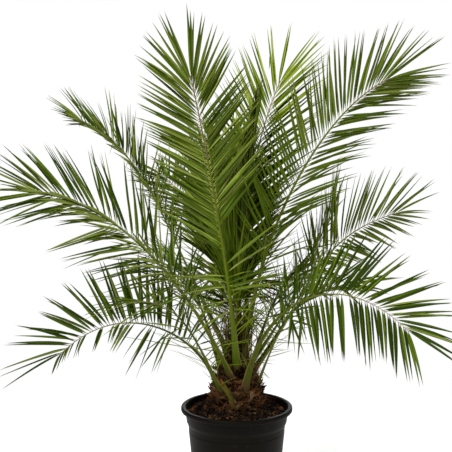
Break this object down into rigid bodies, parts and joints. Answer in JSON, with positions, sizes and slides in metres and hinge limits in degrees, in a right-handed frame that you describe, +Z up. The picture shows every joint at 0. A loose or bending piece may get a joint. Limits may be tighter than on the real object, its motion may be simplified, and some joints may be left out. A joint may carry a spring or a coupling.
{
  "type": "potted canary island date palm",
  "caption": "Young feather palm in a round nursery pot: short trunk of cut leaf bases, arching fronds with two rows of narrow leaflets.",
  "frame": {"origin": "centre of the pot's flat underside, on the surface it stands on", "axes": "+Z up along the pot's axis; -Y is the side that the tall upright front frond leans to; +X to the right seen from -Y"},
  "size_m": [1.2679, 1.0893, 1.3122],
  "materials": {
    "frond_green": "satin",
    "trunk_fibre": "matte",
    "pot_plastic": "satin",
    "soil_mix": "matte"
  },
  "bodies": {
    "root": {"frond_back_upright": "frond_green", "frond_front_upright": "frond_green", "frond_left_high": "frond_green", "frond_left_inner": "frond_green", "frond_left_low_blade": "frond_green", "frond_left_low_stalk": "frond_green", "frond_left_mid": "frond_green", "frond_rear_inner": "frond_green", "frond_rear_left": "frond_green", "frond_rear_left_low_blade": "frond_green", "frond_rear_left_low_stalk": "frond_green", "frond_rear_low_blade": "frond_green", "frond_rear_low_stalk": "frond_green", "frond_rear_right": "frond_green", "frond_rear_right_low_blade": "frond_green", "frond_rear_right_low_stalk": "frond_green", "frond_right_high": "frond_green", "frond_right_inner": "frond_green", "frond_right_low_blade": "frond_green", "frond_right_low_stalk": "frond_green", "frond_right_mid": "frond_green", "frond_spear_short": "frond_green", "frond_spear_tall": "frond_green", "pot": "pot_plastic", "soil": "soil_mix", "trunk": "trunk_fibre"}
  },
  "joints": []
}
